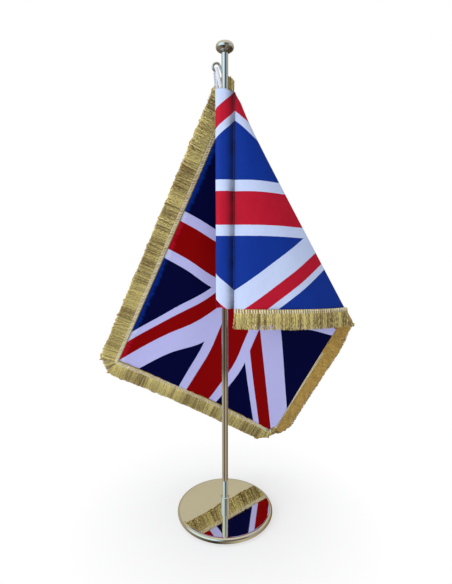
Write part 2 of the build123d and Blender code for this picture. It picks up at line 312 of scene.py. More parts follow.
class Shader:
    """Writes the nodes of a material, or of the world, in few lines."""

    def __init__(self, owner):
        owner.use_nodes = True
        self.owner = owner
        self.tree = owner.node_tree
        self.bsdf = self.tree.nodes.get("Principled BSDF")

    def node(self, kind, **values):
        """A new node; each value goes to the input of that name, or else to the node's own setting."""
        made = self.tree.nodes.new(kind)
        for key, value in values.items():
            if key in made.inputs:
                self.put(made.inputs[key], value)
            else:
                setattr(made, key, value)
        return made

    def put(self, socket, value):
        if isinstance(value, bpy.types.NodeSocket):
            self.tree.links.new(value, socket)
        else:
            socket.default_value = value

    def set(self, **values):
        """Inputs of the surface's main node, with underscores for spaces."""
        for key, value in values.items():
            self.put(self.bsdf.inputs[key.replace("_", " ")], value)

    def math(self, operation, a, b=0.0, c=0.0, clamp=False):
        made = self.tree.nodes.new("ShaderNodeMath")
        made.operation = operation
        made.use_clamp = clamp
        for socket, value in zip(made.inputs, (a, b, c)):
            self.put(socket, value)
        return made.outputs[0]

    def times(self, a, b, clamp=False):
        return self.math("MULTIPLY", a, b, clamp=clamp)

    def linear(self, value, scale, shift, clamp=False):
        return self.math("MULTIPLY_ADD", value, scale, shift, clamp)

    def mix(self, factor, a, b):
        """Colour a at factor 0, b at factor 1."""
        made = self.tree.nodes.new("ShaderNodeMix")
        made.data_type = "RGBA"
        # 0 is the factor; 6, 7 and output 2 are the colour sockets
        self.put(made.inputs[0], factor)
        self.put(made.inputs[6], a)
        self.put(made.inputs[7], b)
        return made.outputs[2]

    def mix_shader(self, factor, first, second):
        made = self.tree.nodes.new("ShaderNodeMixShader")
        for socket, value in zip(made.inputs, (factor, first, second)):
            self.put(socket, value)
        return made.outputs[0]

    def noise(self, scale, detail, vector, distortion=0.0):
        made = self.node("ShaderNodeTexNoise", Scale=scale, Detail=detail, Distortion=distortion,
                         Vector=vector)
        return made.outputs["Fac"]

    def ramp(self, value, *stops):
        """Colour by value, from (position, colour) pairs."""
        made = self.tree.nodes.new("ShaderNodeValToRGB")
        elements = made.color_ramp.elements
        while len(elements) < len(stops):
            elements.new(0.5)
        for element, (position, colour) in zip(elements, stops):
            element.position = position
            element.color = colour if len(colour) == 4 else (*colour, 1)
        self.put(made.inputs[0], value)
        return made.outputs["Color"]

    def bump(self, height, strength, distance, **below):
        """Relief of the surface, over the Normal handed in, if any."""
        made = self.node("ShaderNodeBump", Strength=strength, Distance=distance, Height=height, **below)
        return made.outputs["Normal"]

    def coords(self, kind="Object"):
        return self.node("ShaderNodeTexCoord").outputs[kind]

    def scaled(self, vector, scale):
        return self.node("ShaderNodeMapping", Vector=vector, Scale=scale).outputs["Vector"]

    def axes(self, vector):
        return self.node("ShaderNodeSeparateXYZ", Vector=vector).outputs

    def attribute(self, name):
        return self.node("ShaderNodeAttribute", attribute_name=name).outputs["Fac"]

    def bearing(self, x, y):
        """Place around the pole from 0 to 1; 0.5 is on the camera's side."""
        angle = self.math("ARCTAN2", x, self.times(y, -1.0))
        return self.linear(angle, 1 / (2 * math.pi), 0.5)


def new_shader(name):
    return Shader(bpy.data.materials.new(name))


def colour(red, green, blue):
    """Scene-linear colour from 0-255 display values (the sRGB curve)."""
    def light(level):
        level /= 255
        return level / 12.92 if level <= 0.04045 else ((level + 0.055) / 1.055) ** 2.4
    return (light(red), light(green), light(blue), 1.0)


def grey(level, blue=0.0):
    """Scene-linear grey, a little bluer or warmer."""
    return (level, level, level + blue)


# ---------------- materials

def chrome(name, tint, roughness, smudge):
    """Polished chrome with faint smudges, hairline scratches and uneven gloss."""
    s = new_shader(name)
    where = s.coords()
    cloudy = s.noise(60, 4, where, 0.6)
    hairline = s.noise(900, 2, s.scaled(where, (1, 1, 0.06)))
    rough = s.linear(s.math("SUBTRACT", cloudy, 0.45, clamp=True), smudge, roughness)
    tone = s.ramp(cloudy, (0.3, tuple(c * 0.96 for c in tint)), (0.7, tint))
    s.set(Base_Color=tone, Metallic=1.0, Roughness=rough, Normal=s.bump(hairline, 0.02, 0.0001))
    return s.owner


def plated_steel():
    """Zinc-plated steel for the studs, plugs, nut and washer."""
    s = new_shader("zinc_steel")
    grain = s.noise(700, 3, s.coords())
    tone = s.ramp(grain, (0.3, (0.42, 0.42, 0.43)), (0.7, (0.62, 0.61, 0.58)))
    s.set(Base_Color=tone, Metallic=1.0, Roughness=s.linear(grain, 0.25, 0.25),
          Normal=s.bump(grain, 0.1, 0.0002))
    return s.owner


def iron():
    """Rough dark casting of the ballast."""
    s = new_shader("cast_iron")
    grain = s.noise(900, 6, s.coords())
    tone = s.ramp(grain, (0.3, grey(0.05, 0.005)), (0.7, (0.16, 0.15, 0.15)))
    s.set(Base_Color=tone, Metallic=0.6, Roughness=0.75, Normal=s.bump(grain, 0.6, 0.0006))
    return s.owner


def felt():
    """Dark felt under the base."""
    s = new_shader("dark_felt")
    fibres = s.noise(1500, 6, s.coords(), 1.5)
    tone = s.ramp(fibres, (0.3, (0.012, 0.02, 0.018)), (0.7, (0.05, 0.065, 0.06)))
    s.set(Base_Color=tone, Roughness=0.95, Sheen_Weight=0.5, Normal=s.bump(fibres, 0.9, 0.0008))
    return s.owner


# bands of the crosses as shares of the flag's height: half widths, and the diagonal red's whole width
upright_white = 0.125
upright_red = 0.075
diagonal_white = 1 / 10
diagonal_red = 1 / 15


def flag_print(s, fly, drop):
    """Crosses of the flag as masks of the fly and drop distances: (white, red), each 0 or 1."""
    x = s.math("SUBTRACT", fly, flag_fly / 2)
    y = s.math("SUBTRACT", flag_hoist / 2, drop)

    def within(value, limit):
        return s.math("LESS_THAN", value, limit)

    def off_diagonal(operation):
        """Signed distance from one diagonal, positive above it."""
        apart = s.math(operation, s.times(y, flag_fly), s.times(x, flag_hoist))
        return s.math("DIVIDE", apart, diagonal)

    def saltire(distance):
        """White band of one diagonal, and its red: below it in the hoist half, above it in the fly half."""
        band = within(s.math("ABSOLUTE", distance), flag_hoist * diagonal_white)
        turned = s.times(distance, s.math("SIGN", x))
        above = within(s.times(turned, -1.0), 0.0)
        return band, s.times(within(turned, flag_hoist * diagonal_red), above)

    upright = s.math("MINIMUM", s.math("ABSOLUTE", x), s.math("ABSOLUTE", y))
    cross_white = within(upright, flag_hoist * upright_white)
    cross_red = within(upright, flag_hoist * upright_red)
    rising_white, rising_red = saltire(off_diagonal("SUBTRACT"))
    falling_white, falling_red = saltire(off_diagonal("ADD"))
    white = s.math("MAXIMUM", s.math("MAXIMUM", rising_white, falling_white), cross_white)
    red = s.math("MAXIMUM", rising_red, falling_red)
    red = s.times(red, s.math("SUBTRACT", 1.0, cross_white))
    return white, s.math("MAXIMUM", red, cross_red)


def satin():
    """Printed satin: UV is the distance from the seam and from the top edge, in millimetres."""
    s = new_shader("printed_satin")
    uv = s.coords("UV")
    fly, drop, _ = s.axes(uv)
    # the print's edges waver a little
    wobble = s.times(s.math("SUBTRACT", s.noise(0.6, 2, uv), 0.5), 0.35)
    white, red = flag_print(s, s.math("ADD", s.math("ABSOLUTE", fly), wobble), s.math("ADD", drop, wobble))
    dye = s.noise(0.05, 4, uv)
    # The back of the cloth is deeper in tone, partly from print-through and partly from painted shade on the
    # folded-back panel; along the puckered hem of the top edge, painted light brings back the front's
    # colours
    pucker = s.noise(0.35, 2, s.scaled(uv, (1.0, 0.35, 1)))
    hem_depth = s.linear(pucker, 9.0, 2.0)
    hem = s.times(s.math("SUBTRACT", hem_depth, drop), 0.3, clamp=True)
    back = s.times(s.attribute("back"), s.linear(hem, -0.7, 1.0))

    # the reverse colours carry print-through and painted shade
    def dyed_and_shaded(deep, pale, shaded_reverse):
        return s.mix(back, s.mix(dye, deep, pale), shaded_reverse)

    blue_dye_and_shade = dyed_and_shaded(colour(0, 44, 142), colour(4, 54, 158), colour(0, 3, 54))
    red_dye_and_shade = dyed_and_shaded(colour(178, 10, 38), colour(200, 20, 52), colour(134, 0, 2))
    white_dye_and_shade = dyed_and_shaded(colour(196, 212, 250), colour(210, 222, 255), colour(186, 186, 238))
    tone = s.mix(red, s.mix(white, blue_dye_and_shade, white_dye_and_shade), red_dye_and_shade)
    # Satin weave: long floats along the fly, slightly offset from row to row
    floats = s.node("ShaderNodeTexWave", wave_type="BANDS", bands_direction="Y", Scale=1.3, Distortion=1.2,
                    Vector=s.scaled(uv, (0.25, 1, 1))).outputs["Fac"]
    crumple = s.noise(0.045, 3, s.scaled(uv, (1.0, 0.6, 1)), 0.4)
    slub = s.noise(2.2, 3, s.scaled(uv, (0.12, 1, 1)))
    weave = s.bump(floats, 0.10, 0.0002)
    slubbed = s.bump(slub, 0.10, 0.0003, Normal=weave)
    crumpled = s.bump(crumple, 0.25, 0.003, Normal=slubbed)
    # painted shade beside the sleeve's seam, plus darker slubs in the yarn
    seam_shade_and_slub = s.linear(s.attribute("painted_seam_shade"), 0.72, s.times(slub, 0.18))
    gloss = s.linear(s.attribute("back"), -0.09, 0.12)
    s.set(Base_Color=s.mix(seam_shade_and_slub, tone, (0, 0, 0, 1)), Roughness=s.linear(slub, 0.12, 0.5),
          Sheen_Weight=0.0, Anisotropic=0.4, Specular_IOR_Level=gloss, Normal=crumpled)
    return s.owner


def gold_thread(name, dark, light, metal, roughness):
    """Metallic yarn: twisted plies along the thread, uneven brightness from thread to thread."""
    s = new_shader(name)
    along, around, _ = s.axes(s.coords("UV"))
    plies = s.math("SINE", s.math("ADD", s.times(along, 5.0), s.times(around, 2 * math.pi)))
    glint = s.noise(900, 2, s.coords())
    # glint paints fine bright specks into the yarn's colour: painted glints
    level = s.math("ADD", s.times(s.attribute("tone"), 0.6), s.times(glint, 0.5))
    level = s.linear(plies, 0.12, level, clamp=True)
    s.set(Base_Color=s.ramp(level, (0.2, dark), (0.74, light)), Metallic=metal,
          Roughness=s.linear(glint, 0.25, roughness), Normal=s.bump(plies, 0.5, 0.0003),
          Sheen_Weight=0.2)
    return s.owner


def dull_backing():
    """Plain woven back of the fringe and header."""
    s = new_shader("gold_backing")
    uv = s.coords("UV")
    ribs = s.node("ShaderNodeTexWave", wave_type="BANDS", bands_direction="X", Scale=0.4, Distortion=2.5,
                  Vector=uv).outputs["Fac"]
    mottled = s.noise(0.2, 5, uv)
    # glint speckles are painted glints in the backing's colour
    glint = s.noise(0.9, 2, s.scaled(uv, (1.0, 0.35, 1)))
    level = s.linear(ribs, 0.3, s.times(mottled, 0.45))
    level = s.linear(glint, 0.55, s.math("SUBTRACT", level, 0.12))
    tone = s.ramp(level, (0.2, colour(96, 62, 8)), (0.75, colour(214, 176, 84)))
    s.set(Base_Color=tone, Metallic=0.35, Roughness=0.6, Sheen_Weight=0.3, Normal=s.bump(level, 0.6, 0.0004))
    return s.owner


def cotton(name, tone):
    """Narrow woven cotton tape or thread."""
    s = new_shader(name)
    uv = s.coords("UV")
    weave = s.node("ShaderNodeTexChecker", Scale=2.5, Vector=uv).outputs["Fac"]
    fuzz = s.noise(1.5, 4, uv)
    level = s.linear(weave, 0.3, s.times(fuzz, 0.6))
    worn = s.ramp(level, (0.1, tuple(c * 0.82 for c in tone)), (0.8, tone))
    s.set(Base_Color=worn, Roughness=0.8, Sheen_Weight=0.3, Normal=s.bump(level, 0.4, 0.0002))
    return s.owner


pole_chrome = chrome("pole_chrome", grey(0.86), 0.05, 0.15)
base_chrome = chrome("base_chrome", (0.86, 0.84, 0.78), 0.02, 0.06)
steel = plated_steel()
satin_cloth = satin()
gold_fringe = gold_thread("gold_fringe", colour(118, 76, 10), colour(255, 240, 160), 0.5, 0.3)
gold_braid = gold_thread("gold_braid", colour(132, 98, 40), colour(255, 250, 220), 0.35, 0.35)
backing = dull_backing()
stitch_thread = gold_thread("stitch_thread", colour(190, 170, 110), colour(252, 246, 214), 0.25, 0.45)
tape_cloth = cotton("white_tape", (0.80, 0.83, 0.92))
hem_thread = cotton("hem_thread", (0.16, 0.19, 0.36))


# ---------------- metal pieces

def dress_cad_nodes():
    """CAD nodes that keep their own shape get their finish here."""
    finishes = {
        base_chrome: ("base_cover",),
        pole_chrome: ("base_collar", "pole_tube", "finial_cap", "hook_wire"),
        steel: ("base_nut", "base_washer", "pole_foot_stud", "pole_top_plug"),
        iron(): ("base_weight",),
        felt(): ("base_felt",),
    }
    for finish, nodes in finishes.items():
        for node in nodes:
            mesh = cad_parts[node].data
            mesh.materials.clear()
            mesh.materials.append(finish)


# ---------------- flag cloth

# long folds that fan out from the seam's top
fan_height = 0.9
fan_rate = 17
fan_start = 60
fan_growth = 160
fan_gap = 0.22
# how the print lies: gathered by the fold's foot, straight up to this share of each ruling
print_gather = 11.0
front_gather = 9.0
print_straight = 0.78


def pucker(along, height, rate, sway, sway_rate):
    """Uneven ripple along an edge: a sine whose phase sways."""
    return height * np.sin(along * rate + sway * np.sin(along * sway_rate))


def panel_lift(fly, drop, reach, angle):
    """Height of the fan's folds and of the puckers beside the seam and along the hems."""
    fan = fan_height * np.sin(angle * fan_rate + 0.8) * smooth((reach - fan_start) / fan_growth)
    fan = fan * smooth(np.abs(angle - fold_angle) / fan_gap)
    seam = pucker(drop, height=0.28, rate=1.25, sway=2, sway_rate=0.11) * np.exp(-fly / 5.0)
    seam = seam * (0.35 + 0.65 * smooth((drop - 150) / 40))
    top = pucker(fly, height=0.45, rate=0.9, sway=2.5, sway_rate=0.07) * np.exp(-drop / 3.5)
    top = top * smooth((fly - 25) / 20)
    hem = pucker(drop, height=0.4, rate=0.55, sway=1, sway_rate=0.09) * np.exp(-(flag_fly - fly) / 6.0)
    return fan + seam + top + hem


def print_place(reach, angle):
    """Where each point lies in the print, from the seam and from the top edge."""
    # cloth gathered in the foot of the fold takes some of the print out of sight
    past = angle - fold_angle
    over = smooth(past / 0.06)
    gather = print_gather * over * (1 - smooth((past - 0.06) / 0.35)) * smooth((reach - 150) / 90)
    gather -= front_gather * (1 - over) * smooth((past + 0.2) / 0.17) * smooth((reach - 205) / 35)
    # the print's lines run straight to the hems although the cloth draws in there
    share, most = flap_share(reach, angle)
    straight = (1 - share) / (1 - print_straight) * math.sin(math.pi * print_straight ** slack_power)
    slack = np.sin(math.pi * share ** slack_power)
    drawn = (slack - straight) * smooth((share - 0.68) / 0.2)
    near_top = 0.6 * smooth((angle - 1.25) / 0.2)[..., None]
    print_reach = reach + (most * (drawn + (slack - drawn) * near_top))[..., 0] * over
    return np.stack([print_reach * np.sin(angle) + gather, print_reach * np.cos(angle)], axis=-1)


def panel():
    """Front panel, rounded fold and folded-back panel: one thin closed sheet."""
    columns, rows = 241, 171
    crowding = 1.12
    fly = (np.linspace(0.0, 1.0, columns) ** crowding * flag_fly)[None, :].repeat(rows, axis=0)
    drop = np.linspace(0.0, flag_hoist, rows)[:, None].repeat(columns, axis=1)
    angle = np.arctan2(fly, drop)
    reach = np.hypot(fly, drop)
    normals = cloth_normal(fly, drop)
    middle = cloth_point(fly, drop) + normals * panel_lift(fly, drop, reach, angle)[..., None]
    uvs = print_place(reach, angle)
    return join_flag(closed_sheet("satin_panel", middle, normals, satin_thickness, satin_cloth, uvs))


# plan of the pocket: from the seam around the front to the left, and back behind the pole
sleeve_outline = np.array([
    [sleeve_right + 0.1, -0.3], [7.9, -0.5], [6.4, -1.5], [4.4, -3.5], [1.5, -4.4], [-1.2, -4.6],
    [-4.0, -4.4], [-7.0, -3.2], [sleeve_left, -0.8], [-7.4, 2.0], [-4.2, 3.6], [0.0, 4.1],
    [4.2, 2.9], [7.2, 1.0], [sleeve_right + 0.1, 0.3]])
sleeve_print_scale = 1.25
front_end = 0.44


def distance_along(points):
    """Distance of each point from the first, along the line through them."""
    return np.concatenate([[0], np.cumsum(np.linalg.norm(np.diff(points, axis=0), axis=1))])


def spline_through(knots, count):
    """Catmull-Rom curve through knots, resampled evenly."""
    knots = np.asarray(knots, float)
    padded = np.concatenate([knots[:1] * 2 - knots[1:2], knots, knots[-1:] * 2 - knots[-2:-1]])
    dense = []
    for k in range(len(knots) - 1):
        p0, p1, p2, p3 = padded[k:k + 4]
        t = np.linspace(0, 1, 24, endpoint=False)[:, None]
        dense.append(0.5 * (2 * p1 + (p2 - p0) * t + (2 * p0 - 5 * p1 + 4 * p2 - p3) * t ** 2
                            + (3 * p1 - p0 - 3 * p2 + p3) * t ** 3))
    dense = np.concatenate(dense + [knots[-1:]])
    length = distance_along(dense)
    even = np.linspace(0, length[-1], count)
    return np.stack([np.interp(even, length, dense[:, k]) for k in range(dense.shape[1])], axis=1)


def sleeve_ends(outline, around):
    """Heights of the hemmed top edge and of the lower edge, which rounds off at the front layer's left."""
    top = -0.7 + 2.2 * smooth((sleeve_right - outline[:, 0]) / 11)
    corner_cut = 8.5 * smooth((-outline[:, 0] - 0.5) / 8.5) * smooth((front_end + 0.12 - around) / 0.1)
    return top, sleeve_length - corner_cut


def sleeve_swell(drop, length, around):
    """Shallow waves down the pocket, sharp puckers near the lower end and beside the seam."""
    wave = 0.35 * np.sin(drop / 19 + 1.2) + 0.2 * np.sin(drop / 7.3)
    near_seam = np.exp(-((length - 3.5) / 4.0) ** 2)
    puckers = 0.22 * np.sin(drop * 1.15 + 2.2 * np.sin(drop * 0.1 + length * 0.35))
    puckers = puckers * (0.25 + 0.75 * smooth((drop - 172) / 14)) * (0.35 + near_seam)
    inside = np.sin(around * math.pi) ** 0.5
    return wave * inside[None, :] * (around < front_end)[None, :] + puckers


def sleeve():
    """Sewn pocket around the pole."""
    rows, columns = 150, 72
    outline = spline_through(sleeve_outline, columns)
    length = distance_along(outline)
    around = length / length[-1]
    length = length[None, :]
    top, low = sleeve_ends(outline, around)
    level = np.linspace(0, 1, rows)[:, None]
    drop = -top[None, :] + (top + low)[None, :] * level
    across = np.gradient(outline, axis=0)
    inward = unit(np.stack([-across[:, 1], across[:, 0]], axis=1))
    plan = outline[None] + inward[None] * sleeve_swell(drop, length, around)[..., None]
    grid = np.concatenate([plan, (seam_top[2] - drop)[..., None]], axis=-1)
    uvs = np.stack([sleeve_print_scale * length + 0 * drop, drop], axis=-1)
    normals = unit(np.cross(np.gradient(grid, axis=1), np.gradient(grid, axis=0)))
    obj = closed_sheet("satin_sleeve", grid, normals, sleeve_thickness, satin_cloth, uvs)
    # both faces of the pocket show the printed side
    obj.data.attributes["back"].data.foreach_set("value", np.zeros(len(obj.data.vertices), dtype=np.float32))
    # painted shade: the colour is darkened in the hollow beside the seam, in patches down its length
    patches = 0.8 + 0.2 * np.sin(drop / 11) * np.sin(drop / 4.7 + 1)
    painted_seam_shade = (1 - smooth((length - 1) / 11.0)) * patches
    add_number(obj, "painted_seam_shade", np.tile(painted_seam_shade.reshape(-1), 2))
    return join_flag(obj, "flag_cloth")


# ---------------- fringe

def hem_cover(fly):
    """How far the bottom band laps over the cloth: less on the folded-back panel."""
    return hem_overlap + (flap_overlap - hem_overlap) * smooth((fly - fold_foot_fly) / overlap_change)


def edge_point(edge, travel, out, flare=1.0):
    """Point a given distance outside one edge; flare 1 spreads the ends into a mitre."""
    travel, out = np.broadcast_arrays(np.asarray(travel, float), np.asarray(out, float))
    spread = flare * out
    if edge == "bottom":
        cover = hem_cover(travel)
        fly = travel + np.maximum(spread - cover, 0) * travel / flag_fly
        return cloth_point(fly, flag_hoist - cover + out)
    if edge == "fly":
        return cloth_point(flag_fly + out, travel + spread * (2 * travel / flag_hoist - 1))
    fly = travel + spread * travel / flag_fly
    step = 0.5
    here = cloth_point(fly, 0 * fly)
    along = cloth_point(fly + step, 0 * fly) - cloth_point(np.maximum(fly - step, 0), 0 * fly)
    down = cloth_point(fly, 0 * fly + step) - here
    away = unit(np.cross(along, np.cross(along, down)))
    settled = smooth((fly - top_band_start) / flap_standoff)[..., None]
    away = unit(np.array([0, 0, 1.0]) * (1 - settled) + away * settled)
    return here + away * out[..., None]


def edge_frame(edge, travel, out, flare=1.0):
    """Point, direction along the edge, outward direction and printed-face normal."""
    here = edge_point(edge, travel, out, flare)
    along = unit(edge_point(edge, travel + 0.5, out, flare) - edge_point(edge, travel - 0.5, out, flare))
    away = unit(edge_point(edge, travel, out + 0.5, flare) - here)
    normal = unit(np.cross(away, along) if edge == "bottom" else np.cross(along, away))
    return here + normal * edge_lift[edge], along, away, normal


edge_ends = {"top": (top_band_start, flag_fly), "fly": (0.0, flag_hoist), "bottom": (0.6, flag_fly - 1.0)}
edge_face = {"top": -1.0, "fly": -1.0, "bottom": 1.0}
edge_lift = {"top": 0.0, "fly": 0.0, "bottom": hem_lift}
cord_pitch = {"top": 1.5, "fly": 1.9, "bottom": 2.7}
thread_pitch = {"top": 0.62, "fly": 0.62, "bottom": 0.85}
thread_length = fringe_width - header_width
thread_layers = 3
backing_depth = {"top": 0.75, "fly": 0.75, "bottom": 0.3}
thread_seed = {"top": 11, "fly": 12, "bottom": 13}
backing_seed = {"top": 61, "fly": 62, "bottom": 63}
cord_seed = {"top": 101, "fly": 102, "bottom": 103}
# where a layer's threads start behind the face, and how much their brightness differs
layer_sink = {"top": 0.9, "fly": 0.9, "bottom": 0.2}
tone_spread = {"top": 0.3, "fly": 0.3, "bottom": 0.55}


def kinks(share, rng, height, slowest, fastest):
    """One small wave per thread, with its own pitch and start."""
    rate = rng.uniform(slowest, fastest, share.shape[:1] + (1,))
    start = rng.uniform(0, 6.28, share.shape[:1] + (1,))
    return height * np.sin(share * rate + start)


def loose_threads(root, away, along, face, length, clump, wave, rng, layer, sink, spread):
    """Kinked threads from their roots outwards, with their radii and tones."""
    count = len(root)
    share = np.linspace(0, 1, 13)[None, :].repeat(count, axis=0)
    kink = kinks(share, rng, height=0.30, slowest=14, fastest=26)
    kink_out = kinks(share, rng, height=0.26, slowest=12, fastest=24)
    side = clump * 1.2 + rng.normal(0, 0.7, count)
    lift = 0.45 + 0.75 * wave * (0.4 + 0.6 * rng.random(count)) - sink * layer
    fade = smooth(share * 3)
    sideways = side[:, None] * share ** 1.5 + kink * fade
    outwards = lift[:, None] * np.sin(share * math.pi * 0.8) + kink_out * fade + 0.35
    path = (root[:, None] + away[:, None] * (length[:, None] * share)[..., None]
            + along[:, None] * sideways[..., None] + face[:, None] * outwards[..., None])
    radius = (thread_radius + thread_radius_spread * rng.random(count))[:, None] * (1 - 0.15 * share)
    # tone per thread: random, plus long brighter and duller patches from wave, which are painted sheen, and
    # each deeper layer darker, which is painted shade of the threads behind
    tone = np.clip(0.52 + 0.30 * wave + rng.normal(0, spread, count) - 0.12 * layer, 0, 1)
    return path, radius, tone


def end_taper(edge, travel):
    """Share of the full thread length: shorter where a band begins and at the lower fly corner."""
    if edge == "top":
        return 0.62 + 0.38 * smooth((travel - top_band_start) / 4)
    end = flag_hoist if edge == "fly" else flag_fly
    return 1 - 0.45 * smooth((travel - end + 16) / 16)


def fringe_threads(edge):
    """Hanging metallic threads of one edge, three layers deep."""
    low, high = edge_ends[edge]
    rng = np.random.default_rng(thread_seed[edge])
    count = int((high - low) / thread_pitch[edge])
    start = header_width - 0.8
    parts = []
    for layer in range(thread_layers):
        travel = np.linspace(low + 0.3, high - 0.3, count) + rng.normal(0, 0.2, count)
        clump = np.convolve(rng.normal(0, 1, count + 24), np.hanning(9), "same")[12:12 + count]
        clump /= np.abs(clump).max()
        wave = 0.7 * np.sin(travel / 8 + 1.7 * np.sin(travel / 21)) + 0.5 * np.sin(travel / 3.1 + layer)
        length = thread_length * (0.95 + 0.07 * rng.random(count)) + 0.7 * clump
        length = length * end_taper(edge, travel)
        here, along, _, normal = edge_frame(edge, travel, np.full(count, start), 0.0)
        tip = edge_frame(edge, travel, start + length, 0.0)[0]
        parts.append(loose_threads(here, unit(tip - here), along, normal * edge_face[edge], length, clump,
                                   wave, rng, layer, layer_sink[edge], tone_spread[edge]))
    return finish_threads("fringe_" + edge + "_threads", parts, "fringe_" + edge)


def corner_fan(name, first, first_travel, second, second_travel, lengths, seed):
    """Threads that fan out around one corner, from the first edge's direction to the second's."""
    rng = np.random.default_rng(seed)
    start = np.array([header_width - 1.2])
    a, _, away_a, normal_a = edge_frame(first, np.array([first_travel]), start, 0.0)
    b, _, away_b, normal_b = edge_frame(second, np.array([second_travel]), start, 0.0)
    middle = (a + b) / 2 - (away_a + away_b) * 1.5
    parts = []
    count = 46
    for layer in range(thread_layers):
        t = np.clip(np.linspace(0, 1, count) + rng.normal(0, 0.01, count), 0, 1)[:, None]
        away = unit(away_a * (1 - t) + away_b * t)
        root = np.where(t < 0.5, a * (1 - 2 * t) + middle * 2 * t, middle * (2 - 2 * t) + b * (2 * t - 1))
        face = unit(normal_a * (1 - t) * edge_face[first] + normal_b * t * edge_face[second])
        wave = np.sin(t[:, 0] * 17 + layer)
        reach = np.interp(t[:, 0], [0, 0.5, 1], lengths) * (0.95 + 0.07 * rng.random(count))
        parts.append(loose_threads(root, away, np.cross(face, away), face, reach, 0 * wave, wave, rng, layer,
                                   0.9, 0.27))
    return finish_threads(name, parts, None)


def finish_threads(name, parts, node):
    """Joins layers of threads into one piece that rides on the flag."""
    path, radius, tone = [np.concatenate(group) for group in zip(*parts)]
    return join_flag(tubes(name, path, radius, gold_fringe, thread_sides, tone), node)


def fringe_backing(edge):
    """Plain back of the fringe: a thin sheet with a ragged lower edge, which also fills the gaps between the
    threads with painted shade.
    """
    low, high = edge_ends[edge]
    rng = np.random.default_rng(backing_seed[edge])
    columns = int(high - low)
    travel = np.linspace(low, high, columns)[None, :]
    ragged = np.convolve(rng.normal(0, 1, columns + 8), np.hanning(5), "same")[4:4 + columns]
    reach = np.linspace(0, 1, 12)[:, None]
    full = (thread_length + 0.3 + 0.45 * ragged[None, :]) * end_taper(edge, travel)
    if edge == "bottom":
        full = full * (0.72 + 0.28 * smooth((travel - fold_foot_fly) / 20))
    out = header_width - 1.0 + full * reach
    travel = travel + 0 * out
    here, _, _, normal = edge_frame(edge, travel, out, 0.35)
    middle = here - normal * edge_face[edge] * backing_depth[edge]
    ripple = 0.35 * np.sin(travel / 5.0 + 1.3 * np.sin(travel / 13)) + 0.15 * np.sin(travel * 1.9)
    middle = middle + normal * (ripple * reach)[..., None]
    uvs = np.stack([travel, out], axis=-1)
    obj = closed_sheet("fringe_" + edge + "_back", middle, normal, backing_thickness, backing, uvs)
    return join_flag(obj)


def header_tape(edge):
    """Woven tape under the braid; on the bottom edge it starts at the hem, elsewhere a little inside it."""
    low, high = edge_ends[edge]
    columns = int((high - low) / 1.5)
    inner = 0.0 if edge == "bottom" else -0.6
    travel = np.linspace(low, high, columns)[None, :]
    out = np.linspace(inner, header_width, 6)[:, None] + 0 * travel
    travel = travel + 0 * out
    here, _, _, normal = edge_frame(edge, travel, out)
    uvs = np.stack([travel, out], axis=-1)
    obj = closed_sheet("header_" + edge + "_tape", here, normal, header_thickness, backing, uvs)
    return join_flag(obj, "header_" + edge)


def header_cords(edge):
    """Cross cords side by side on the header's face, thickest in the middle."""
    low, high = edge_ends[edge]
    rng = np.random.default_rng(cord_seed[edge])
    count = int((high - low) / cord_pitch[edge])
    travel = np.linspace(low + 0.5, high - 0.5, count)
    share = np.linspace(0, 1, 7)
    out = 0.2 + (header_width - 0.7) * share[None, :] + 0 * travel[:, None]
    lean = travel[:, None] + 0.5 * (share[None, :] - 0.5) + rng.normal(0, 0.12, (count, 1))
    here, _, _, normal = edge_frame(edge, lean, out)
    path = here + normal * (edge_face[edge] * (0.30 + 0.45 * np.sin(share * math.pi)))[None, :, None]
    thick = 0.26 * cord_pitch[edge] * (1 - 0.25 * np.abs(2 * share - 1) ** 3)
    tone = np.clip(0.75 + rng.normal(0, 0.2, count), 0, 1)
    obj = tubes("header_" + edge + "_cords", path, np.tile(thick, (count, 1)), gold_braid, cord_sides, tone)
    return join_flag(obj)


def header_braid(edge):
    """Braided header: tape, cross cords, and stitches on both faces where they show."""
    header_tape(edge)
    header_cords(edge)
    stitches(edge, -edge_face[edge], "back")
    if edge != "bottom":
        stitches(edge, edge_face[edge], "face")


def stitches(edge, side, label):
    """Two rows of running stitches on one side of the header."""
    low, high = edge_ends[edge]
    pitch = 2.6
    stitch = 2.0
    count = int((high - low - 2) / pitch)
    start = low + 1 + pitch * np.arange(count)
    share = np.linspace(0, 1, 6)
    height = 0.85 if label == "face" else 0.35
    radius = 0.24
    rows = (0.7, 3.3)
    if edge == "bottom":
        # only the folded-back panel shows this side of the bottom band
        start = start[start > fold_foot_fly + overlap_change]
        rows = (flap_overlap + 1.2, flap_overlap + 3.4)
        height, radius = 0.75, 0.4
    paths = []
    for out in rows:
        travel = start[:, None] + stitch * share[None, :]
        here, _, _, normal = edge_frame(edge, travel, np.full(travel.shape, out))
        paths.append(here + normal * (side * (height + 0.28 * np.sin(share * math.pi)))[None, :, None])
    paths = np.concatenate(paths)
    name = "header_" + edge + "_stitches_" + label
    tones = np.full(len(paths), stitch_tone)
    obj = tubes(name, paths, np.full(paths.shape[:2], radius), stitch_thread, thread_sides, tones)
    return join_flag(obj)


def sleeve_stitches():
    """Row of single stitches beside the sleeve's seam."""
    pitch = 2.4
    stitch = 1.8
    radius = 0.08
    count = int((sleeve_length - 6) / pitch)
    share = np.linspace(0, 1, 6)
    z = seam_top[2] - 3 - pitch * np.arange(count)[:, None] - stitch * share[None, :]
    x = np.full(z.shape, sleeve_right - 0.7)
    y = np.full(z.shape, -0.72) - 0.15 * np.sin(share * math.pi)[None, :]
    paths = np.stack([x, y, z], axis=-1)
    obj = tubes("sleeve_stitches", paths, np.full(z.shape, radius), hem_thread, thread_sides)
    return join_flag(obj, "sleeve_thread")


# ---------------- hanging loop

